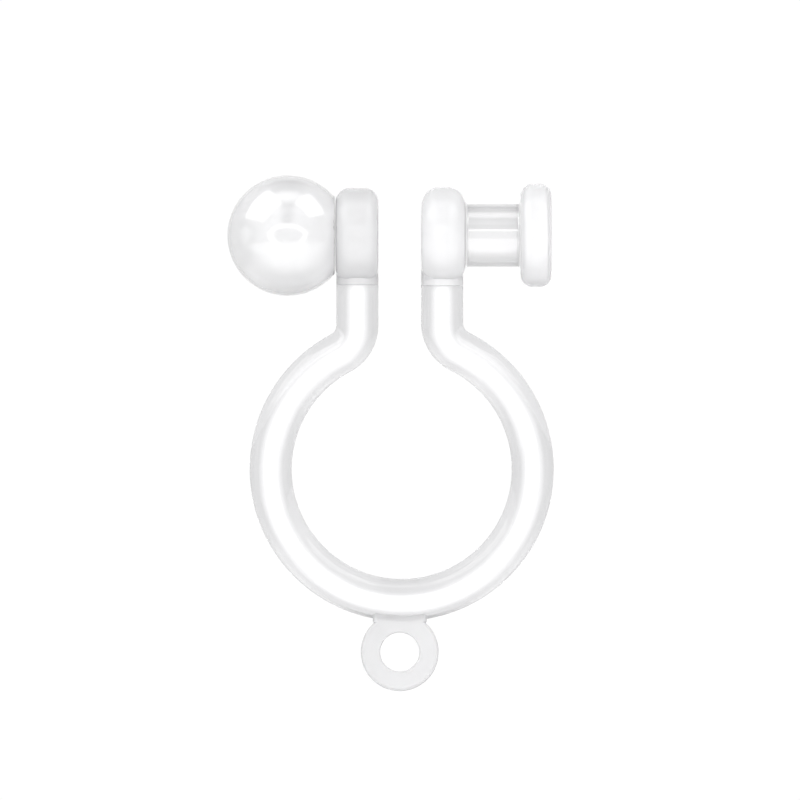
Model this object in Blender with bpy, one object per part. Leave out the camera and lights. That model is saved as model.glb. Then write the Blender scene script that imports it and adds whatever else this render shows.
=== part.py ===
"""A clip-on earring finding in clear resin, for an ear that isn't pierced.

A round wire is bent into a sprung hoop that is open at the top. Each end of it turns up into a neck
that carries a pad, and the ear lobe is gripped between the two pads. A ball sits on the front pad, a
post and an end disc stand out from the back pad, and a flat loop hangs under the hoop.

Blender 4.5, metres, +Z up. The origin is midway between the pads' gripping faces, on the axis that
the ball, pads, post and end disc share. X runs across the gap with the ball at -X, and Y runs along
the hoop's own axis.
"""

from math import asin, cos, pi, radians, sin, sqrt

import bmesh
import bpy
from mathutils import Matrix, Vector

# Grip
PAD_GAP = 0.001275
FRONT_PAD_DIAMETER = 0.00285
FRONT_PAD_THICKNESS = 0.00129
FRONT_PAD_ROUNDING = 0.00042
BACK_PAD_DIAMETER = 0.00291
BACK_PAD_THICKNESS = 0.00134
BACK_PAD_ROUNDING = 0.00056

# Sprung hoop
WIRE_DIAMETER = 0.00127
HOOP_OUTSIDE = 0.00914
HOOP_SHIFT = 0.00006  # the hoop's centre sits this far to the back of the pads' middle
BEND_RADIUS = 0.00096  # of the wire's centreline, where a neck turns out into the hoop
NECK_LENGTH = 0.0012  # straight wire under the pads, the mean of the two necks
NECK_SOCKET = 0.0003  # how far a neck rises round the pad's rim
SPRING_HALF_ANGLE = radians(38)  # of the part of the hoop, either side of its bottom, that flexes

# Ball, post and end disc
BALL_DIAMETER = 0.00366
BALL_FLAT_DEPTH = 0.00042  # what the ball loses where it is cemented to the front pad
POST_DIAMETER = 0.0019
POST_LENGTH = 0.00164
END_DISC_DIAMETER = 0.0031
END_DISC_THICKNESS = 0.00094
END_DISC_ROUNDING = 0.00036

# Hanging loop
LOOP_OUTSIDE = 0.00234
LOOP_HOLE = 0.00117
LOOP_THICKNESS = 0.0009
LOOP_DROP = 0.00092  # from the hoop's outside down to the middle of the hole
TAB_WIDTH = 0.00164
LOOP_ROUNDING = 0.00012

# What is left between neighbours, which are moulded or cemented together
SEAM = 0.00002

# How round the round shapes are
DISC_SIDES = 56
WIRE_SIDES = 24
BALL_SIDES = 40
BALL_RINGS = 24
LOOP_SIDES = 40
ROUNDING_STEPS = 4
DEGREES_PER_STEP = 6
MOST_ROUNDING = 0.45  # of a disc's thickness, which both its rims share

# Worked out from the sizes above
WIRE_RADIUS = WIRE_DIAMETER / 2
HOOP_RADIUS = HOOP_OUTSIDE / 2 - WIRE_RADIUS
NECK_OFFSET = PAD_GAP / 2 + WIRE_RADIUS  # a neck's inner side is flush with its pad's face
PAD_RIM = max(FRONT_PAD_DIAMETER, BACK_PAD_DIAMETER) / 2
FRONT, BACK = -1, 1
BALL_CENTRE = -(PAD_GAP / 2 + FRONT_PAD_THICKNESS + SEAM + BALL_DIAMETER / 2 - BALL_FLAT_DEPTH)

CLEAR = {"colour": (0.93, 0.94, 0.95), "roughness": 0.06}
MILKY = {"colour": (0.86, 0.87, 0.89), "roughness": 0.22}


def neck_distance(side):
    """How far the neck's centreline is from the hoop's centre, along X."""
    return abs(side * NECK_OFFSET - HOOP_SHIFT)


def bend_rise(side):
    """How far the middle of the bend is above the hoop's centre: the two arcs touch outside."""
    return sqrt((HOOP_RADIUS + BEND_RADIUS) ** 2 - (neck_distance(side) + BEND_RADIUS) ** 2)


def bend_turn(side):
    """The angle that the wire turns through in the bend."""
    return pi / 2 - asin((neck_distance(side) + BEND_RADIUS) / (HOOP_RADIUS + BEND_RADIUS))


MEAN_RISE = (bend_rise(FRONT) + bend_rise(BACK)) / 2
HOOP_CENTRE = Vector((HOOP_SHIFT, 0, -PAD_RIM - NECK_LENGTH - MEAN_RISE))
HOOP_BOTTOM = HOOP_CENTRE.z - HOOP_OUTSIDE / 2
LOOP_CENTRE = Vector((0, 0, HOOP_BOTTOM - LOOP_DROP))
SEAM_ANGLE = SEAM / 2 / HOOP_RADIUS


def clear_scene():
    for item in list(bpy.data.objects):
        bpy.data.objects.remove(item)


def plastic(name, colour, roughness):
    """A Principled material of one plain colour."""
    material = bpy.data.materials.new(name)
    material.use_nodes = True
    shader = material.node_tree.nodes["Principled BSDF"]
    shader.inputs["Base Color"].default_value = (*colour, 1)
    shader.inputs["Roughness"].default_value = roughness
    shader.inputs["Metallic"].default_value = 0
    return material


def finish(bm, name, look=None, origin=(0, 0, 0)):
    """Makes an object of the mesh, with its origin where asked. Without a look it is a cutter."""
    bmesh.ops.recalc_face_normals(bm, faces=bm.faces)
    bmesh.ops.translate(bm, verts=bm.verts, vec=-Vector(origin))
    mesh = bpy.data.meshes.new(name)
    bm.to_mesh(mesh)
    bm.free()
    mesh.shade_smooth()
    mesh.set_sharp_from_angle(angle=radians(40))
    item = bpy.data.objects.new(name, mesh)
    item.location = origin
    bpy.context.collection.objects.link(item)
    if look is None:
        item.hide_render = True
        item.display_type = "WIRE"
    else:
        mesh.materials.append(plastic(name, look["colour"], look["roughness"]))
    return item


def cut(item, cutter):
    """Cuts a cutter's shape out of an item."""
    step = item.modifiers.new(cutter.name, "BOOLEAN")
    step.operation = "DIFFERENCE"
    step.solver = "EXACT"
    step.object = cutter


def along_x(middle):
    """Turns a shape that was made along Z to lie along X, with its middle where given."""
    return Matrix.Translation((middle, 0, 0)) @ Matrix.Rotation(pi / 2, 4, "Y")


def disc_mesh(x_from, x_to, diameter, rounding=0, grow=0):
    """A disc on the shared axis with both rims rounded. grow makes it larger all round."""
    low = min(x_from, x_to) - grow
    high = max(x_from, x_to) + grow
    radius = diameter / 2 + grow
    bm = bmesh.new()
    bmesh.ops.create_cone(
        bm,
        cap_ends=True,
        segments=DISC_SIDES,
        radius1=radius,
        radius2=radius,
        depth=high - low,
        matrix=along_x((low + high) / 2),
    )
    rounding = min(rounding, (high - low) * MOST_ROUNDING)
    if rounding:
        rims = [edge for edge in bm.edges if len({round(v.co.x, 9) for v in edge.verts}) == 1]
        bmesh.ops.bevel(
            bm,
            geom=rims,
            offset=rounding + grow,
            segments=ROUNDING_STEPS,
            profile=0.5,
            affect="EDGES",
        )
    return bm


def pad_mesh(side, grow=0):
    """A pad, with its gripping face at the gap."""
    diameter = FRONT_PAD_DIAMETER if side == FRONT else BACK_PAD_DIAMETER
    rounding = FRONT_PAD_ROUNDING if side == FRONT else BACK_PAD_ROUNDING
    return disc_mesh(side * PAD_GAP / 2, pad_back(side), diameter, rounding, grow)


def pad_back(side):
    """Where the pad's other face is, which carries the ball or the post."""
    thickness = FRONT_PAD_THICKNESS if side == FRONT else BACK_PAD_THICKNESS
    return side * (PAD_GAP / 2 + thickness)


def start_wire(centre, heading, radius):
    """A disc across the wire at its start, as a mesh and its one face."""
    bm = bmesh.new()
    turned = Vector((0, 0, 1)).rotation_difference(heading).to_matrix().to_4x4()
    bmesh.ops.create_circle(
        bm,
        cap_ends=True,
        segments=WIRE_SIDES,
        radius=radius,
        matrix=Matrix.Translation(centre) @ turned,
    )
    return bm, bm.faces[:][0]


def run_wire(bm, end, offset):
    """Draws the wire's end face out along a straight line, and returns the new end face."""
    grown = bmesh.ops.extrude_face_region(bm, geom=[end])["geom"]
    points = [item for item in grown if isinstance(item, bmesh.types.BMVert)]
    bmesh.ops.translate(bm, verts=points, vec=offset)
    return [item for item in grown if isinstance(item, bmesh.types.BMFace)][0]


def turn_wire(bm, end, centre, angle):
    """Swings the wire's end face about a line along Y, and returns the new end face."""
    steps = max(2, round(abs(angle) / radians(DEGREES_PER_STEP)))
    grown = bmesh.ops.spin(
        bm,
        geom=[end, *end.edges, *end.verts],
        cent=centre,
        axis=(0, 1, 0),
        angle=angle,
        steps=steps,
        use_duplicate=False,
    )["geom_last"]
    return [item for item in grown if isinstance(item, bmesh.types.BMFace)][0]


def hinge_point():
    """The lowest point of the wire's centreline, where the hoop flexes."""
    return HOOP_CENTRE - Vector((0, 0, HOOP_RADIUS))


def hoop_arm(name, side):
    """A neck, its bend and the side of the hoop, down to the part that flexes."""
    rim = (FRONT_PAD_DIAMETER if side == FRONT else BACK_PAD_DIAMETER) / 2
    top = Vector((side * NECK_OFFSET, 0, NECK_SOCKET - rim))
    bend_height = HOOP_CENTRE.z + bend_rise(side)
    bend_centre = Vector((side * (NECK_OFFSET + BEND_RADIUS), 0, bend_height))
    from_top = pi / 2 - bend_turn(side)
    hoop_turn = pi - from_top - SPRING_HALF_ANGLE - SEAM_ANGLE
    bm, end = start_wire(top, Vector((0, 0, -1)), WIRE_RADIUS)
    end = run_wire(bm, end, Vector((0, 0, bend_height - top.z)))
    end = turn_wire(bm, end, bend_centre, -side * bend_turn(side))
    turn_wire(bm, end, HOOP_CENTRE, side * hoop_turn)
    arm = finish(bm, name, CLEAR, hinge_point())
    cut(arm, finish(pad_mesh(side, SEAM), f"{name}_seat_cutter"))
    if side == FRONT:
        cut(arm, finish(ball_mesh(SEAM), f"{name}_ball_cutter"))
    return arm


def bend_wire(radius, half_angle):
    """Wire along the bottom of the hoop, as far as half_angle on each side."""
    start = HOOP_CENTRE - HOOP_RADIUS * Vector((sin(half_angle), 0, cos(half_angle)))
    heading = Vector((cos(half_angle), 0, -sin(half_angle)))
    bm, end = start_wire(start, heading, radius)
    turn_wire(bm, end, HOOP_CENTRE, -2 * half_angle)
    return bm


def hoop_bend():
    """The part of the hoop that flexes, at its bottom."""
    bm = bend_wire(WIRE_RADIUS, SPRING_HALF_ANGLE - SEAM_ANGLE)
    return finish(bm, "hoop_bend", CLEAR, hinge_point())


def pads():
    for side, name in ((FRONT, "front_pad"), (BACK, "back_pad")):
        finish(pad_mesh(side), name, MILKY, (pad_back(side), 0, 0))


def ball_mesh(grow=0):
    """The whole ball, on the shared axis. grow makes it larger all round."""
    bm = bmesh.new()
    bmesh.ops.create_uvsphere(
        bm,
        u_segments=BALL_SIDES,
        v_segments=BALL_RINGS,
        radius=BALL_DIAMETER / 2 + grow,
        matrix=along_x(BALL_CENTRE),
    )
    return bm


def front_ball():
    """The ball with a small flat, cemented to the front pad's outer face."""
    flat = pad_back(FRONT) - SEAM
    bm = ball_mesh()
    cut = bmesh.ops.bisect_plane(
        bm,
        geom=[*bm.verts, *bm.edges, *bm.faces],
        plane_co=(flat, 0, 0),
        plane_no=(1, 0, 0),
        clear_outer=True,
    )["geom_cut"]
    rim = [item for item in cut if isinstance(item, bmesh.types.BMEdge)]
    bmesh.ops.contextual_create(bm, geom=rim)
    finish(bm, "front_ball", CLEAR, (BALL_CENTRE, 0, 0))


def back_post_and_disc():
    """The post on the back pad's outer face, and the disc on its end."""
    foot = pad_back(BACK)
    tip = foot + POST_LENGTH
    post = disc_mesh(foot + SEAM, tip - SEAM, POST_DIAMETER)
    finish(post, "back_post", CLEAR, (foot, 0, 0))
    disc = disc_mesh(tip, tip + END_DISC_THICKNESS, END_DISC_DIAMETER, END_DISC_ROUNDING)
    finish(disc, "back_disc", CLEAR, (tip, 0, 0))


def loop_blank():
    """A flat plate that faces along Y, round below and straight-sided up to the hoop."""
    tab_top = HOOP_BOTTOM + WIRE_RADIUS / 2
    meets_tab = asin(TAB_WIDTH / LOOP_OUTSIDE)
    bm = bmesh.new()
    outline = [Vector((side * TAB_WIDTH / 2, 0, tab_top)) for side in (FRONT, BACK)]
    for step in range(LOOP_SIDES + 1):
        angle = meets_tab + step / LOOP_SIDES * 2 * (pi - meets_tab)
        outline.append(LOOP_CENTRE + LOOP_OUTSIDE / 2 * Vector((sin(angle), 0, cos(angle))))
    face = bm.faces.new([bm.verts.new(point) for point in outline])
    grown = bmesh.ops.extrude_face_region(bm, geom=[face])["geom"]
    moved = [item for item in grown if isinstance(item, bmesh.types.BMVert)]
    bmesh.ops.translate(bm, verts=moved, vec=(0, LOOP_THICKNESS, 0))
    bmesh.ops.translate(bm, verts=bm.verts, vec=(0, -LOOP_THICKNESS / 2, 0))
    rims = [edge for edge in bm.edges if len({round(v.co.y, 9) for v in edge.verts}) == 1]
    bmesh.ops.bevel(bm, geom=rims, offset=LOOP_ROUNDING, segments=2, profile=0.5, affect="EDGES")
    return bm


def hanging_loop():
    """A flat ring whose tab is shaped to the underside of the hoop."""
    loop = finish(loop_blank(), "hanging_loop", MILKY, LOOP_CENTRE)
    hole = bmesh.new()
    bmesh.ops.create_cone(
        hole,
        cap_ends=True,
        segments=LOOP_SIDES,
        radius1=LOOP_HOLE / 2,
        radius2=LOOP_HOLE / 2,
        depth=2 * LOOP_THICKNESS,
        matrix=Matrix.Translation(LOOP_CENTRE) @ Matrix.Rotation(pi / 2, 4, "X"),
    )
    cut(loop, finish(hole, "loop_hole_cutter"))
    seat = bend_wire(WIRE_RADIUS + SEAM, SPRING_HALF_ANGLE)
    cut(loop, finish(seat, "loop_seat_cutter"))
    return loop


def main():
    clear_scene()
    hoop_arm("hoop_front_arm", FRONT)
    hoop_bend()
    hoop_arm("hoop_back_arm", BACK)
    pads()
    front_ball()
    back_post_and_disc()
    hanging_loop()


main()
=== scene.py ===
"""Looks for a clip-on earring finding in clear resin: a sprung hoop with pads, ball, post and loop."""

from math import atan2, cos, degrees, pi, radians, sin, sqrt

import bpy
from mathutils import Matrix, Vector


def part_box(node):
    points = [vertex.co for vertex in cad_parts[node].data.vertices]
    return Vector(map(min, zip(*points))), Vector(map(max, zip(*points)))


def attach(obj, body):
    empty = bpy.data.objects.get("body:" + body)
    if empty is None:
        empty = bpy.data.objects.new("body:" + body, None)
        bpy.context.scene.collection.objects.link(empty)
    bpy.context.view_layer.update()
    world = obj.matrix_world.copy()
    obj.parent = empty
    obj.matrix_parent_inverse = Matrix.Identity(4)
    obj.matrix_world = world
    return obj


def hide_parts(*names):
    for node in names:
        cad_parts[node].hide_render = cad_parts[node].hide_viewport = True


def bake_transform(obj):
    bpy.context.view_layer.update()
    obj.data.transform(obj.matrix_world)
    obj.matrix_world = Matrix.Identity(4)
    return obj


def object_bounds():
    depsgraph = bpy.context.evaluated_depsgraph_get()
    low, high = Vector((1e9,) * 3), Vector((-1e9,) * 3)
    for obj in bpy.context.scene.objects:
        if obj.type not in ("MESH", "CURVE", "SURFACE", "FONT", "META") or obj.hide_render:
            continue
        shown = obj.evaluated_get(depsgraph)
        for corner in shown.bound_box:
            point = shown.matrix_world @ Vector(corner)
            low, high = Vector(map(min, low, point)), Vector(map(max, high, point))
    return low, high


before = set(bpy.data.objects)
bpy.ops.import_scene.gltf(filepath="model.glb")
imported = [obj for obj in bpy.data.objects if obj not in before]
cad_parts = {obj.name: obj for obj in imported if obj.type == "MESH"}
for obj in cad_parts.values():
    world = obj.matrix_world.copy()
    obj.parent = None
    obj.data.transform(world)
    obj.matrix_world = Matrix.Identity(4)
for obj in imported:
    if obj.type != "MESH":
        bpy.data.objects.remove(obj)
CAD_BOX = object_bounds()

bl_info = {
    "name": "Clear resin clip-on earring finding",
    "version": (1, 0, 0),
    "blender": (4, 5, 0),
    "location": "3D View > Sidebar > Clip-on",
    "description": "Models the finding's pieces and sets a studio round them",
    "category": "Add Mesh",
}

MM = 0.001
SEAM = 0.006 * MM  # left between the hoop's wire and the pieces moulded onto it
SEAM_RIM = 0.015 * MM  # bevel round the two faces of a seam
FRONT_BULGE = 0.01 * MM  # how far the seams between necks and pads bow down
BACK_BULGE = 0.04 * MM
WELD = 0.0001 * MM

# Places and sizes, read from the solid model
FRONT_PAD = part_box("front_pad")
BACK_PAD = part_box("back_pad")
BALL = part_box("front_ball")
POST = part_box("back_post")
END_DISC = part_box("back_disc")
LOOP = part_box("hanging_loop")
FRONT_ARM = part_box("hoop_front_arm")
BACK_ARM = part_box("hoop_back_arm")
HOOP_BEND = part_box("hoop_bend")

WIRE_RADIUS = BACK_ARM[1].y
FRONT_NECK = FRONT_ARM[1].x - WIRE_RADIUS
BACK_NECK = BACK_ARM[0].x + WIRE_RADIUS
HOOP_X = (FRONT_ARM[0].x + BACK_ARM[1].x) / 2
HOOP_RADIUS = (BACK_ARM[1].x - FRONT_ARM[0].x) / 2 - WIRE_RADIUS
HOOP_Z = HOOP_BEND[0].z + WIRE_RADIUS + HOOP_RADIUS
LOOP_RADIUS = LOOP[1].x
LOOP_Z = LOOP[0].z + LOOP_RADIUS
LOOP_HALF_THICKNESS = LOOP[1].y

SIDEWAYS = (0, pi / 2, 0)  # turns a primitive's Z axis to X
TOWARDS_US = (pi / 2, 0, 0)  # turns a primitive's Z axis to -Y


# Settings


class FindingSizes(bpy.types.PropertyGroup):
    """Sizes of the smooth pieces that the solid model doesn't give by its boxes."""

    bend_radius: bpy.props.FloatProperty(
        name="Bend radius",
        description="Of the wire's middle, where a neck turns out into the hoop",
        default=0.96 * MM,
        min=0.7 * MM,
        max=2 * MM,
        subtype="DISTANCE",
        unit="LENGTH",
    )
    neck_top: bpy.props.FloatProperty(
        name="Neck top",
        description="How far below a pad's rim the wire ends and the pad's own neck begins",
        default=0.06 * MM,
        min=0.02 * MM,
        max=0.4 * MM,
        subtype="DISTANCE",
        unit="LENGTH",
    )
    front_pad_rounding: bpy.props.FloatProperty(
        name="Front pad rounding",
        description="Radius of the front pad's rims",
        default=0.42 * MM,
        min=0.1 * MM,
        max=0.6 * MM,
        subtype="DISTANCE",
        unit="LENGTH",
    )
    back_pad_rounding: bpy.props.FloatProperty(
        name="Back pad rounding",
        description="Radius of the back pad's rims",
        default=0.56 * MM,
        min=0.1 * MM,
        max=0.62 * MM,
        subtype="DISTANCE",
        unit="LENGTH",
    )
    end_disc_rounding: bpy.props.FloatProperty(
        name="End disc rounding",
        description="Radius of the end disc's rims",
        default=0.36 * MM,
        min=0.1 * MM,
        max=0.45 * MM,
        subtype="DISTANCE",
        unit="LENGTH",
    )
    post_flare: bpy.props.FloatProperty(
        name="Post flare",
        description="Radius of the small fillet at each end of the post",
        default=0.07 * MM,
        min=0.02 * MM,
        max=0.2 * MM,
        subtype="DISTANCE",
        unit="LENGTH",
    )
    loop_hole: bpy.props.FloatProperty(
        name="Loop hole",
        description="Diameter of the hole that a charm's ring goes through",
        default=1.17 * MM,
        min=0.6 * MM,
        max=1.6 * MM,
        subtype="DISTANCE",
        unit="LENGTH",
    )
    loop_tab: bpy.props.FloatProperty(
        name="Loop tab",
        description="Width of the tab where it meets the hoop",
        default=1.64 * MM,
        min=1 * MM,
        max=2.2 * MM,
        subtype="DISTANCE",
        unit="LENGTH",
    )


class ResinLook(bpy.types.PropertyGroup):
    """The resin's colour and clearness."""

    tint: bpy.props.FloatVectorProperty(
        name="Tint",
        description="Colour of light that has passed through the resin",
        default=(0.987, 0.985, 0.996),
        min=0,
        max=1,
        subtype="COLOR",
    )
    index: bpy.props.FloatProperty(
        name="Refractive index",
        description="How strongly the resin bends light",
        default=1.49,
        min=1.3,
        max=1.7,
    )
    wire_clearness: bpy.props.FloatProperty(
        name="Wire clearness",
        description="Share of light that the polished wire lets through",
        default=0.95,
        min=0.5,
        max=1,
        subtype="FACTOR",
    )
    ball_clearness: bpy.props.FloatProperty(
        name="Ball clearness",
        description="Share of light that the pearly ball lets through",
        default=0.52,
        min=0.5,
        max=1,
        subtype="FACTOR",
    )
    pad_clearness: bpy.props.FloatProperty(
        name="Pad clearness",
        description="Share of light that the satin pads, disc and loop let through",
        default=0.52,
        min=0.5,
        max=1,
        subtype="FACTOR",
    )


class StudioLook(bpy.types.PropertyGroup):
    """Camera, floor and light."""

    frame_width: bpy.props.FloatProperty(
        name="Frame width",
        description="Width of the view at the finding",
        default=24 * MM,
        min=10 * MM,
        max=100 * MM,
        subtype="DISTANCE",
        unit="LENGTH",
    )
    lens: bpy.props.FloatProperty(
        name="Lens",
        description="Focal length, long enough for an almost parallel view",
        default=1000,
        min=50,
        max=2000,
        unit="CAMERA",
    )
    room_grey: bpy.props.FloatProperty(
        name="Room",
        description="Brightness of the room away from the light panels",
        default=0.73,
        min=0,
        max=2,
    )
    panel_white: bpy.props.FloatProperty(
        name="Back panel",
        description="Brightness of the light panel behind the finding",
        default=1.12,
        min=0,
        max=4,
    )
    tent_white: bpy.props.FloatProperty(
        name="Tent",
        description="How much brighter the tent round the camera is than the room",
        default=0.32,
        min=0,
        max=4,
    )


def finding_sizes():
    return bpy.context.scene.finding_sizes


def resin_look():
    return bpy.context.scene.resin_look


def studio_look():
    return bpy.context.scene.studio_look


# Modelling


def mode(name):
    if bpy.context.object and bpy.context.object.mode != name:
        bpy.ops.object.mode_set(mode=name)


def start(add, **settings):
    """Adds a primitive with nothing else selected, its place already in its mesh."""
    mode("OBJECT")
    bpy.ops.object.select_all(action="DESELECT")
    add(**settings)
    bpy.ops.object.transform_apply(location=True, rotation=True, scale=True)
    return bpy.context.active_object


def pick(part, chosen):
    """Leaves a part in edit mode with only the faces selected that chosen accepts."""
    mode("OBJECT")
    bpy.ops.object.select_all(action="DESELECT")
    part.select_set(True)
    bpy.context.view_layer.objects.active = part
    mode("EDIT")
    bpy.ops.mesh.select_mode(type="FACE")
    bpy.ops.mesh.select_all(action="DESELECT")
    mode("OBJECT")
    for face in part.data.polygons:
        face.select = chosen(face)
    mode("EDIT")


def pick_edges(part, chosen):
    """Leaves a part in edit mode with only the edges selected whose two ends chosen accepts."""
    pick(part, lambda face: False)
    bpy.ops.mesh.select_mode(type="EDGE")
    mode("OBJECT")
    points = part.data.vertices
    for edge in part.data.edges:
        edge.select = chosen(points[edge.vertices[0]].co, points[edge.vertices[1]].co)
    mode("EDIT")


def grow(step, swell=1.0, centre=(0, 0, 0)):
    """Extrudes the selected face by a step, then scales it about a centre, across X."""
    bpy.ops.mesh.extrude_region_move(TRANSFORM_OT_translate={"value": step})
    if swell != 1.0:
        bpy.ops.transform.resize(value=(1, swell, swell), center_override=centre)


def turned(stations, sides):
    """A piece turned about the X axis: a disc grown through stations of place and radius."""
    place, radius = stations[0]
    part = start(
        bpy.ops.mesh.primitive_circle_add,
        vertices=sides,
        radius=radius,
        fill_type="NGON",
        rotation=SIDEWAYS,
        location=(place, 0, 0),
    )
    mode("EDIT")
    bpy.ops.mesh.select_all(action="SELECT")
    for next_place, next_radius in stations[1:]:
        step = (next_place - place, 0, 0)
        grow(step, next_radius / radius, (next_place, 0, 0))
        place, radius = next_place, next_radius
    return part


def quarter(steps):
    """Angles of a quarter turn, in equal steps."""
    return [pi / 2 * i / steps for i in range(steps + 1)]


def rounded_disc(box, rounding, steps=14):
    """Stations of a disc that fills a box along X and has both rims rounded."""
    low, high, radius = box[0].x, box[1].x, box[1].z
    rise = [(rounding * (1 - cos(a)), radius - rounding * (1 - sin(a))) for a in quarter(steps)]
    return [(low + x, r) for x, r in rise] + [(high - x, r) for x, r in reversed(rise)]


def flared_post(box, flare, steps=8):
    """Stations of a post that fills a box along X, with a hollow fillet at each end."""
    low, high, radius = box[0].x, box[1].x, box[1].z
    rise = [(flare * (1 - cos(a)), radius + flare * (1 - sin(a))) for a in quarter(steps)]
    return [(low + x, r) for x, r in rise] + [(high - x, r) for x, r in reversed(rise)]


def close_up(part):
    """Welds doubles and turns every face outwards."""
    pick(part, lambda face: True)
    bpy.ops.mesh.remove_doubles(threshold=WELD)
    bpy.ops.mesh.normals_make_consistent(inside=False)
    mode("OBJECT")


def apply_boolean(part, cutter, operation):
    """Joins or cuts one part with another, which is used up."""
    close_up(cutter)
    bpy.ops.object.select_all(action="DESELECT")
    part.select_set(True)
    bpy.context.view_layer.objects.active = part
    step = part.modifiers.new(operation.title(), "BOOLEAN")
    step.operation = operation
    step.solver = "EXACT"
    step.object = cutter
    bpy.ops.object.modifier_apply(modifier=step.name)
    bpy.data.objects.remove(cutter)


def finish_piece(part, name, material, nodes, body=None, sharp=35):
    """Names and shades a part, hides the solids that it stands for and hangs it on what it rides on, if
    given.
    """
    close_up(part)
    bpy.ops.object.select_all(action="DESELECT")
    part.select_set(True)
    bpy.context.view_layer.objects.active = part
    bpy.ops.object.shade_smooth_by_angle(angle=radians(sharp))
    part.name = name
    part.data.name = name
    part.data.materials.clear()
    part.data.materials.append(material)
    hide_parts(*nodes)
    if body:
        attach(part, body)


# The hoop


def bend_angle(neck):
    """The angle that the wire turns through between a neck and the hoop, and its bend's centre."""
    radius = finding_sizes().bend_radius
    across = abs(neck - HOOP_X) + radius
    rise = sqrt((HOOP_RADIUS + radius) ** 2 - across**2)
    side = 1 if neck > HOOP_X else -1
    return atan2(rise, across), Vector((neck + side * radius, 0, HOOP_Z + rise))


def seam_height(pad):
    """How high the wire's end is under a pad."""
    return pad[0].z - finding_sizes().neck_top


def spin_wire(angle, centre, degrees_per_step=2.5):
    steps = max(2, round(abs(degrees(angle)) / degrees_per_step))
    bpy.ops.mesh.spin(steps=steps, angle=angle, center=centre, axis=(0, 1, 0))


def run_wire(drop, steps=6):
    for _ in range(steps):
        grow((0, 0, drop / steps))


def dome_end(part, height, centre, bulge):
    """Rounds off the round end face at a height, then bows it down by a bulge."""

    def at_end(face):
        return abs(face.center.z - height) < SEAM / 4 and abs(face.center.x - centre) < SEAM

    pick(part, at_end)
    bpy.ops.mesh.bevel(offset=SEAM_RIM, segments=2, affect="EDGES")
    pick(part, lambda face: at_end(face) and len(face.vertices) > 8)
    for share in (0.5, 0.3, 0.15, 0.05):
        bpy.ops.mesh.inset(thickness=WIRE_RADIUS / 5)
        bpy.ops.transform.translate(value=(0, 0, -bulge * share))
    mode("OBJECT")


class FINDING_OT_hoop(bpy.types.Operator):
    """Models the sprung hoop as one round wire from neck to neck"""

    bl_idname = "finding.hoop"
    bl_label = "Sprung hoop"

    def execute(self, context):
        back_turn, back_centre = bend_angle(BACK_NECK)
        front_turn, front_centre = bend_angle(FRONT_NECK)
        back_top = seam_height(BACK_PAD) - SEAM
        front_top = seam_height(FRONT_PAD) - SEAM
        wire = start(
            bpy.ops.mesh.primitive_circle_add,
            vertices=64,
            radius=WIRE_RADIUS,
            fill_type="NGON",
            location=(BACK_NECK, 0, back_top),
        )
        mode("EDIT")
        bpy.ops.mesh.select_all(action="SELECT")
        run_wire(back_centre.z - back_top)
        spin_wire(back_turn, back_centre)
        spin_wire(-(back_turn + pi + front_turn), (HOOP_X, 0, HOOP_Z))
        spin_wire(front_turn, front_centre)
        run_wire(front_top - front_centre.z)
        dome_end(wire, back_top, BACK_NECK, BACK_BULGE)
        dome_end(wire, front_top, FRONT_NECK, FRONT_BULGE)
        nodes = ("hoop_front_arm", "hoop_bend", "hoop_back_arm")
        finish_piece(wire, "hoop_wire", polished_resin(), nodes)
        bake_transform(wire)

        return {"FINISHED"}


# Pads, ball, post and disc


def neck_stub(pad, neck, bulge):
    """The short neck under a pad, as thick as the wire that it meets."""
    low = seam_height(pad)
    high = pad[0].z / 2
    stub = start(
        bpy.ops.mesh.primitive_cylinder_add,
        vertices=64,
        radius=WIRE_RADIUS,
        depth=high - low,
        location=(neck, 0, (high + low) / 2),
    )
    dome_end(stub, low, neck, bulge)
    return stub


class FINDING_OT_pads(bpy.types.Operator):
    """Models the two round pads that press on the ear lobe, each with its own short neck"""

    bl_idname = "finding.pads"
    bl_label = "Pads"

    def execute(self, context):
        sizes = finding_sizes()
        # The last column darkens each pad's colour: the front pad's lower value is painted shade, the
        # ball's shadow on it
        rows = (
            ("front", FRONT_PAD, sizes.front_pad_rounding, FRONT_NECK, FRONT_BULGE, 0.85),
            ("back", BACK_PAD, sizes.back_pad_rounding, BACK_NECK, BACK_BULGE, 0.94),
        )
        for side, box, rounding, neck, bulge, haze_and_painted_shade in rows:
            pad = turned(rounded_disc(box, rounding), sides=112)
            close_up(pad)
            apply_boolean(pad, neck_stub(box, neck, bulge), "UNION")
            nodes = (f"{side}_pad",)
            finish_piece(pad, f"{side}_grip_pad", satin_resin(haze_and_painted_shade), nodes, f"{side}_side")
        return {"FINISHED"}


class FINDING_OT_ball(bpy.types.Operator):
    """Models the ball, with the flat where it is cemented to the front pad"""

    bl_idname = "finding.ball"
    bl_label = "Ball"

    def execute(self, context):
        radius = BALL[1].z
        flat = BALL[1].x
        ball = start(
            bpy.ops.mesh.primitive_ico_sphere_add,
            subdivisions=6,
            radius=radius,
            location=(BALL[0].x + radius, 0, 0),
        )
        pick(ball, lambda face: True)
        bpy.ops.mesh.bisect(
            plane_co=(flat, 0, 0),
            plane_no=(1, 0, 0),
            use_fill=True,
            clear_outer=True,
            threshold=WELD,
        )
        pick(ball, lambda face: face.center.x > flat - WELD)
        bpy.ops.mesh.bevel(offset=0.03 * MM, segments=3, affect="EDGES")
        finish_piece(ball, "ball_stud", pearly_resin(), ("front_ball",), "front_side")
        return {"FINISHED"}


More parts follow.
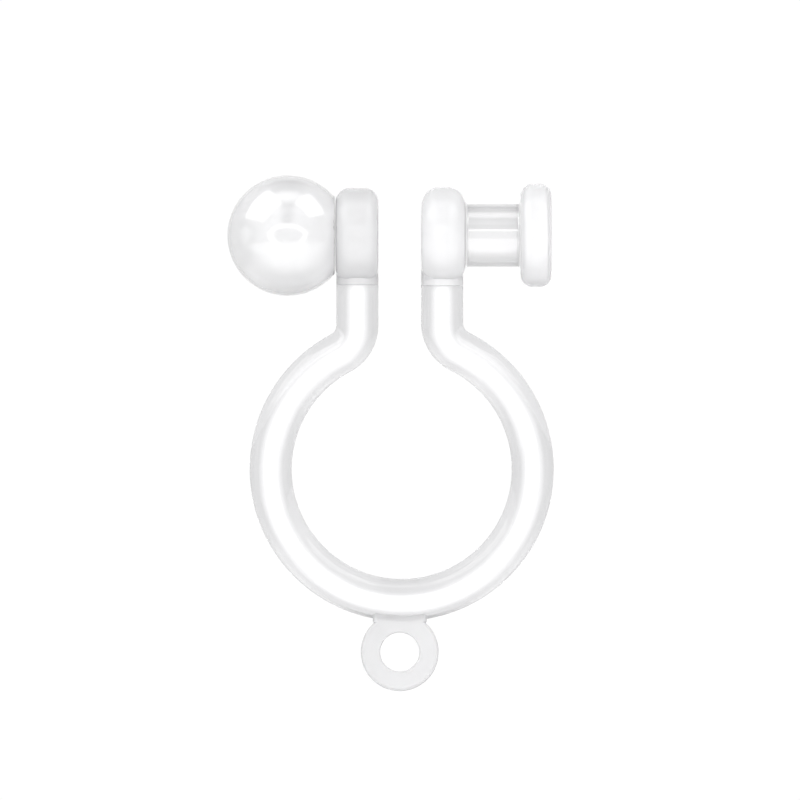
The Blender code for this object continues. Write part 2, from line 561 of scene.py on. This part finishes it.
class FINDING_OT_post_and_disc(bpy.types.Operator):
    """Models the round post behind the back pad, and the disc on its end"""

    bl_idname = "finding.post_and_disc"
    bl_label = "Post and end disc"

    def execute(self, context):
        sizes = finding_sizes()
        post = turned(flared_post(POST, sizes.post_flare), sides=96)
        finish_piece(post, "post_rod", lacquered_resin(), ("back_post",), "back_side")
        disc = turned(rounded_disc(END_DISC, sizes.end_disc_rounding), sides=112)
        finish_piece(disc, "end_disc_cap", glossy_resin(), ("back_disc",), "back_side")
        return {"FINISHED"}


# The hanging loop


def hole_cutter(radius, rim):
    """A spool that cuts the loop's hole and rounds both its edges."""
    half = LOOP_HALF_THICKNESS
    rise = [(half - rim * (1 - cos(a)), radius + rim * (1 - sin(a))) for a in quarter(6)]
    stations = [(-y, r) for y, r in rise] + [(y, r) for y, r in reversed(rise)]
    outer = rise[0][1]
    stations = [(-2 * half, outer)] + stations + [(2 * half, outer)]
    spool = turned(stations, sides=72)
    bpy.ops.mesh.select_all(action="SELECT")
    bpy.ops.transform.rotate(value=pi / 2, orient_axis="Z", center_override=(0, 0, 0))
    bpy.ops.transform.translate(value=(0, 0, LOOP_Z))
    return spool


def seat_cutter():
    """The bottom of the hoop's wire, a seam larger, which cuts the loop's seat."""
    wire = start(
        bpy.ops.mesh.primitive_circle_add,
        vertices=64,
        radius=WIRE_RADIUS + SEAM,
        fill_type="NGON",
        location=(HOOP_X + HOOP_RADIUS, 0, HOOP_Z),
    )
    mode("EDIT")
    bpy.ops.mesh.select_all(action="SELECT")
    spin_wire(-pi, (HOOP_X, 0, HOOP_Z), degrees_per_step=1.5)
    return wire


def tab_blank():
    """The loop's flat ring before its hole, with the tab drawn up into the hoop and its rims rounded."""
    half = LOOP_HALF_THICKNESS
    blank = start(
        bpy.ops.mesh.primitive_cylinder_add,
        vertices=96,
        radius=LOOP_RADIUS,
        depth=2 * half,
        rotation=TOWARDS_US,
        location=(0, 0, LOOP_Z),
    )
    tab = finding_sizes().loop_tab
    step = 0.04 * MM
    top = LOOP[1].z + WIRE_RADIUS / 2

    # The top of the ring goes up a step and is widened to the tab, then goes up again and is made level
    pick(blank, lambda face: abs(face.center.x) < tab / 2 - step and face.normal.z > 0.5)
    bpy.ops.mesh.extrude_region_move(TRANSFORM_OT_translate={"value": (0, 0, step)})
    bpy.ops.transform.resize(value=(tab / (tab - 2 * step), 1, 1), center_override=(0, 0, 0))
    bpy.ops.mesh.extrude_region_move(TRANSFORM_OT_translate={"value": (0, 0, step)})
    bpy.ops.transform.resize(value=(1, 1, 0), center_override=(0, 0, top))

    # Both rims are rounded, once the flat faces are each in one piece
    pick(blank, lambda face: True)
    bpy.ops.mesh.dissolve_limited(angle_limit=radians(0.5))
    pick_edges(blank, lambda a, b: abs(a.y - b.y) < WELD and min(a.z, b.z) < top - WELD)
    bpy.ops.mesh.bevel(offset=0.11 * MM, segments=6, affect="EDGES")
    close_up(blank)
    return blank


class FINDING_OT_hanging_loop(bpy.types.Operator):
    """Models the flat loop under the hoop that a charm hangs from"""

    bl_idname = "finding.hanging_loop"
    bl_label = "Hanging loop"

    def execute(self, context):
        loop = tab_blank()
        hole = hole_cutter(finding_sizes().loop_hole / 2, 0.06 * MM)
        apply_boolean(loop, hole, "DIFFERENCE")
        apply_boolean(loop, seat_cutter(), "DIFFERENCE")

        # The flat faces round the hole are cut into triangles, so that no edge has more than two
        close_up(loop)
        pick(loop, lambda face: len(face.vertices) > 4)
        bpy.ops.mesh.quads_convert_to_tris(ngon_method="BEAUTY")
        finish_piece(loop, "hanging_ring", satin_resin(0.87), ("hanging_loop",), "hanger")
        return {"FINISHED"}


# Materials


class Wire:
    """A shader socket: sums on it add Math nodes."""

    def __init__(self, graph, socket):
        self.graph = graph
        self.socket = socket

    def _sum(self, operation, first, second):
        return self.graph.add("ShaderNodeMath", {"operation": operation}, {0: first, 1: second})

    def __add__(self, other):
        return self._sum("ADD", self, other)

    def __sub__(self, other):
        return self._sum("SUBTRACT", self, other)

    def __rsub__(self, other):
        return self._sum("SUBTRACT", other, self)

    def __mul__(self, other):
        return self._sum("MULTIPLY", self, other)

    def __truediv__(self, other):
        return self._sum("DIVIDE", self, other)

    def __rtruediv__(self, other):
        return self._sum("DIVIDE", other, self)

    def __pow__(self, other):
        return self._sum("POWER", self, other)

    __radd__ = __add__
    __rmul__ = __mul__


class Graph:
    """A node tree to which nodes are added with their settings and inputs."""

    def __init__(self, tree):
        self.tree = tree

    def add(self, kind, settings=None, inputs=None, output=0):
        """Adds a node and gives one of its outputs."""
        node = self.tree.nodes.new(kind)
        for name, value in (settings or {}).items():
            setattr(node, name, value)
        for name, value in (inputs or {}).items():
            if isinstance(value, Wire):
                self.tree.links.new(value.socket, node.inputs[name])
            else:
                node.inputs[name].default_value = value
        return Wire(self, node.outputs[output])

    def parts(self, vector):
        """The three parts of a vector."""
        return [self.add("ShaderNodeSeparateXYZ", inputs={0: vector}, output=i) for i in range(3)]

    def ramp(self, value, low, high, start=0.0, end=1.0):
        """Goes smoothly from start to end while the value goes from low to high."""
        inputs = {"Value": value, 1: low, 2: high, 3: start, 4: end}
        return self.add("ShaderNodeMapRange", {"interpolation_type": "SMOOTHSTEP"}, inputs)

    def mix(self, share, first, second):
        """A colour between two, by a share."""
        inputs = {0: share, 6: first, 7: second}
        return self.add("ShaderNodeMix", {"data_type": "RGBA"}, inputs, output=2)

    def noise(self, place, scale, detail=2.0):
        """Even noise, from 0 to 1, with this many patches in a metre."""
        inputs = {"Vector": place, "Scale": scale, "Detail": detail}
        return self.add("ShaderNodeTexNoise", {}, inputs)


def resin(name, clearness, polish, haze_and_painted_shade, ripple, coat=0.0):
    """Clear resin: faint cloudiness, a polish that varies and the ripple of a moulded skin."""
    known = bpy.data.materials.get(name)
    if known:
        return known
    look = resin_look()
    material = bpy.data.materials.new(name)
    material.use_nodes = True
    graph = Graph(material.node_tree)
    shader = material.node_tree.nodes["Principled BSDF"]
    place = graph.add("ShaderNodeTexCoord", output=3)
    cloud = graph.noise(place, 700, 3.0)
    wear = graph.noise(place, 2600, 3.0)
    # The haze darkens the resin's colour: its own grey, and painted shade on the front pad, which gets a
    # darker copy of the pads' resin
    clear_colour = (*(c * haze_and_painted_shade for c in look.tint), 1)
    hazy_colour = (*(c * haze_and_painted_shade * 0.96 for c in look.tint), 1)
    colour = graph.mix(graph.ramp(cloud, 0.35, 0.7), clear_colour, hazy_colour)
    gloss = polish * (0.85 + 0.4 * graph.ramp(wear, 0.35, 0.75))
    bump = graph.add(
        "ShaderNodeBump",
        {},
        {"Strength": ripple, "Distance": 0.01 * MM, "Height": cloud + 0.15 * wear},
    )
    for socket, value in (("Base Color", colour), ("Roughness", gloss), ("Normal", bump)):
        material.node_tree.links.new(value.socket, shader.inputs[socket])
    shader.inputs["IOR"].default_value = look.index
    shader.inputs["Transmission Weight"].default_value = clearness
    shader.inputs["Coat Weight"].default_value = coat
    shader.inputs["Coat Roughness"].default_value = 0.12
    shader.inputs["Coat IOR"].default_value = 2.0
    return material


def polished_resin():
    return resin("polished_resin", resin_look().wire_clearness, polish=0.1, haze_and_painted_shade=1.0, ripple=0.1)


def lacquered_resin():
    return resin("lacquered_resin", 0.7, polish=0.1, haze_and_painted_shade=0.93, ripple=0.06, coat=1.0)


def glossy_resin():
    return resin("glossy_resin", resin_look().pad_clearness, polish=0.16, haze_and_painted_shade=0.96, ripple=0.1)


def satin_resin(haze_and_painted_shade):
    # The haze in the name darkens the colour, so the front pad's material is the pads' resin with
    # painted shade
    name = f"satin_resin_{round(100 * haze_and_painted_shade)}"
    return resin(name, resin_look().pad_clearness, polish=0.16, haze_and_painted_shade=haze_and_painted_shade, ripple=0.08)


def pearly_resin():
    clearness = resin_look().ball_clearness
    return resin("pearly_resin", clearness, polish=0.1, haze_and_painted_shade=0.9, ripple=0.05, coat=1.0)


# The studio


def behind(graph, way, tilt=6):
    """How much a direction, as its three parts, points at the round panel behind the finding.

    The panel's middle is a tilt above the horizontal, in degrees."""
    across, along, up = way
    cosine = along * cos(radians(tilt)) + up * sin(radians(tilt))
    off = graph.add("ShaderNodeMath", {"operation": "ARCCOSINE"}, {0: cosine}) * degrees(1)
    return graph.ramp(off, 8, 29, 1, 0)


def room_brightness(graph, way):
    """How bright the room round the finding is in a direction, given as its three parts."""
    look = studio_look()
    across, along, up = way
    sideways = graph.add("ShaderNodeMath", {"operation": "ABSOLUTE"}, {0: across})
    depth = graph.add("ShaderNodeMath", {"operation": "MAXIMUM"}, {0: 0 - along, 1: 0.05})
    off_lens = (across / (depth * 0.9)) ** 2 + (up / (depth * 0.44)) ** 2

    # Panels behind the finding, at each side and straight overhead
    panel = behind(graph, way)
    side_panels = graph.ramp(sideways, cos(radians(15)), cos(radians(7)))
    overhead = graph.ramp(up, 0.92, 0.97) * graph.ramp(along, -0.1, 0.15, 1, 0)

    # Round the lens a ring light, and further out a tent with a gap above the lens
    ring = graph.ramp(off_lens, 0.3, 0.5) * graph.ramp(off_lens, 0.55, 0.9, 1, 0)
    ring = ring * graph.ramp(along, -0.5, -0.3, 1, 0)
    gap = graph.ramp(up, 0.2, 0.45) * graph.ramp(up, 0.86, 0.95, 1, 0)
    gap = gap * graph.ramp(sideways, 0.06, 0.3, 1, 0) * graph.ramp(along, -0.2, 0, 1, 0)
    tent = graph.ramp(off_lens, 0.3, 1.5) * graph.ramp(along, -0.15, 0.12, 1, 0) * (1 - gap)

    # A dark screen above the panel behind the finding
    screen = graph.ramp(sideways, 0.1, 0.5, 1, 0) * graph.ramp(up, 0.2, 0.5)
    screen = screen * graph.ramp(along, -0.05, 0.2) * graph.ramp(along, 0.55, 0.75, 1, 0)

    room = look.room_grey + 0.1 * graph.ramp(up, 0, 0.7) - 0.55 * screen - 0.6 * gap
    panels = (look.panel_white - look.room_grey) * panel + 0.4 * side_panels + 0.45 * overhead
    return room + panels + look.tent_white * tent + 2 * ring


def studio_light():
    """The room lights the finding, and the camera sees a plain white backdrop in its place."""
    world = bpy.data.worlds.new("studio")
    bpy.context.scene.world = world
    world.use_nodes = True
    tree = world.node_tree
    tree.nodes.clear()
    graph = Graph(tree)
    way = graph.parts(graph.add("ShaderNodeTexCoord"))
    white = (1, 1, 1, 1)
    bright = room_brightness(graph, way)
    room = graph.add("ShaderNodeBackground", inputs={"Color": white, "Strength": bright})
    backdrop = graph.add("ShaderNodeBackground", inputs={"Color": white, "Strength": 1.02})
    seen = graph.add("ShaderNodeLightPath", output=0)
    surface = graph.add("ShaderNodeMixShader", inputs={0: seen, 1: room, 2: backdrop})
    output = tree.nodes.new("ShaderNodeOutputWorld")
    tree.links.new(surface.socket, output.inputs[0])


def soft_box(name, direction, distance, size, power):
    """A square lamp that shines at the finding, and isn't seen itself or through the resin."""
    lamp = bpy.data.lights.new(name, "AREA")
    lamp.size = size
    lamp.energy = power
    item = bpy.data.objects.new(name, lamp)
    way = Vector(direction).normalized()
    item.location = way * distance
    item.rotation_mode = "QUATERNION"
    item.rotation_quaternion = (-way).to_track_quat("-Z", "Y")
    item.visible_camera = False
    item.visible_transmission = False
    bpy.context.scene.collection.objects.link(item)
    return item


def floor_glow(graph, drop):
    """The floor's own light, at a drop below the hoop's middle: a painted pool of light where the panel
    would shine on its far side.

    Its rim is whiter to the camera, and its front has a painted glow, which lights the finding from
    below, for all rays but those from the camera and those that have come through the resin."""
    across, along, _ = graph.parts(graph.add("ShaderNodeTexCoord", output=3))
    spread = across**2 + along**2
    reach = (spread + drop**2) ** 0.5
    # Painted pool of light: the floor glows where the panel behind would shine on it
    panel = behind(graph, (across / reach, along / reach, -drop / reach))
    seen, refracted = (graph.add("ShaderNodeLightPath", output=ray) for ray in (0, 6))
    rim = graph.ramp(spread**0.5, 30 * MM, 80 * MM) * seen
    # Painted glow on the floor's front, which lights the finding's underside
    front = graph.ramp(along, -20 * MM, -1 * MM, 1, 0) * (1 - seen - refracted)
    return 0.43 + 0.1 * seen + 0.4 * panel + 0.1 * rim + 0.72 * front


def pale_floor():
    """A round pale floor whose edge melts into the backdrop."""
    top = CAD_BOX[0].z - 5 * MM
    thickness = 3 * MM
    floor = start(
        bpy.ops.mesh.primitive_cylinder_add,
        vertices=128,
        radius=85 * MM,
        depth=thickness,
        location=(0, 0, top - thickness / 2),
    )
    pick(floor, lambda face: abs(face.normal.z) > 0.5)
    bpy.ops.mesh.bevel(offset=0.5 * MM, segments=3, affect="EDGES")
    mode("OBJECT")
    floor.name = "floor"
    material = bpy.data.materials.new("pale_floor")
    material.use_nodes = True
    graph = Graph(material.node_tree)
    glow = floor_glow(graph, HOOP_Z - top)
    shader = material.node_tree.nodes["Principled BSDF"]
    shader.inputs["Base Color"].default_value = (0.3, 0.3, 0.3, 1)
    shader.inputs["Roughness"].default_value = 0.9
    shader.inputs["Emission Strength"].default_value = 1
    material.node_tree.links.new(glow.socket, shader.inputs["Emission Color"])
    floor.data.materials.append(material)


def aim_camera():
    """A long lens looks straight along +Y, with no turn and no shift."""
    look = studio_look()
    lens = bpy.data.cameras.new("camera")
    lens.lens = look.lens
    camera = bpy.data.objects.new("camera", lens)
    frame_middle = Vector((0.0075, 0, -4.941)) * MM
    back = look.frame_width * look.lens / lens.sensor_width
    camera.location = frame_middle - Vector((0, back, 0))
    camera.rotation_euler = TOWARDS_US
    bpy.context.scene.collection.objects.link(camera)
    bpy.context.scene.camera = camera


class FINDING_OT_studio(bpy.types.Operator):
    """Sets the camera, a pale floor and soft light"""

    bl_idname = "finding.studio"
    bl_label = "Studio"

    def execute(self, context):
        context.scene.view_settings.view_transform = "Standard"
        cycles = context.scene.cycles  # light crosses many walls of resin before it gets out
        cycles.max_bounces = 40
        cycles.transmission_bounces = 40
        cycles.glossy_bounces = 40
        cycles.diffuse_bounces = 24
        aim_camera()
        studio_light()
        pale_floor()
        near = 120 * MM
        soft_box("soft_box_left", (-0.66, -0.19, 0.73), near, size=105 * MM, power=0.05)
        soft_box("soft_box_right", (0.57, -0.26, 0.78), near, size=80 * MM, power=0.03)
        fill = soft_box("soft_box_front", (0, -1, -0.1), 300 * MM, size=400 * MM, power=0.27)
        fill.visible_glossy = False
        return {"FINISHED"}


class FINDING_PT_panel(bpy.types.Panel):
    """Lists the finding's pieces and settings"""

    bl_idname = "FINDING_PT_panel"
    bl_label = "Clip-on finding"
    bl_space_type = "VIEW_3D"
    bl_region_type = "UI"
    bl_category = "Clip-on"

    def draw(self, context):
        scene = context.scene
        for group in (scene.finding_sizes, scene.resin_look, scene.studio_look):
            box = self.layout.box()
            for name in group.bl_rna.properties.keys():
                if name not in ("rna_type", "name"):
                    box.prop(group, name)
        for step in STEPS:
            self.layout.operator(step.bl_idname)


STEPS = (
    FINDING_OT_studio,
    FINDING_OT_hoop,
    FINDING_OT_pads,
    FINDING_OT_ball,
    FINDING_OT_post_and_disc,
    FINDING_OT_hanging_loop,
)
CLASSES = (FindingSizes, ResinLook, StudioLook, *STEPS, FINDING_PT_panel)


def register():
    for item in CLASSES:
        bpy.utils.register_class(item)
    bpy.types.Scene.finding_sizes = bpy.props.PointerProperty(type=FindingSizes)
    bpy.types.Scene.resin_look = bpy.props.PointerProperty(type=ResinLook)
    bpy.types.Scene.studio_look = bpy.props.PointerProperty(type=StudioLook)


def unregister():
    del bpy.types.Scene.studio_look
    del bpy.types.Scene.resin_look
    del bpy.types.Scene.finding_sizes
    for item in reversed(CLASSES):
        bpy.utils.unregister_class(item)


def main():
    register()
    bpy.ops.finding.studio()
    bpy.ops.finding.hoop()
    bpy.ops.finding.pads()
    bpy.ops.finding.ball()
    bpy.ops.finding.post_and_disc()
    bpy.ops.finding.hanging_loop()


if __name__ == "__main__":
    main()
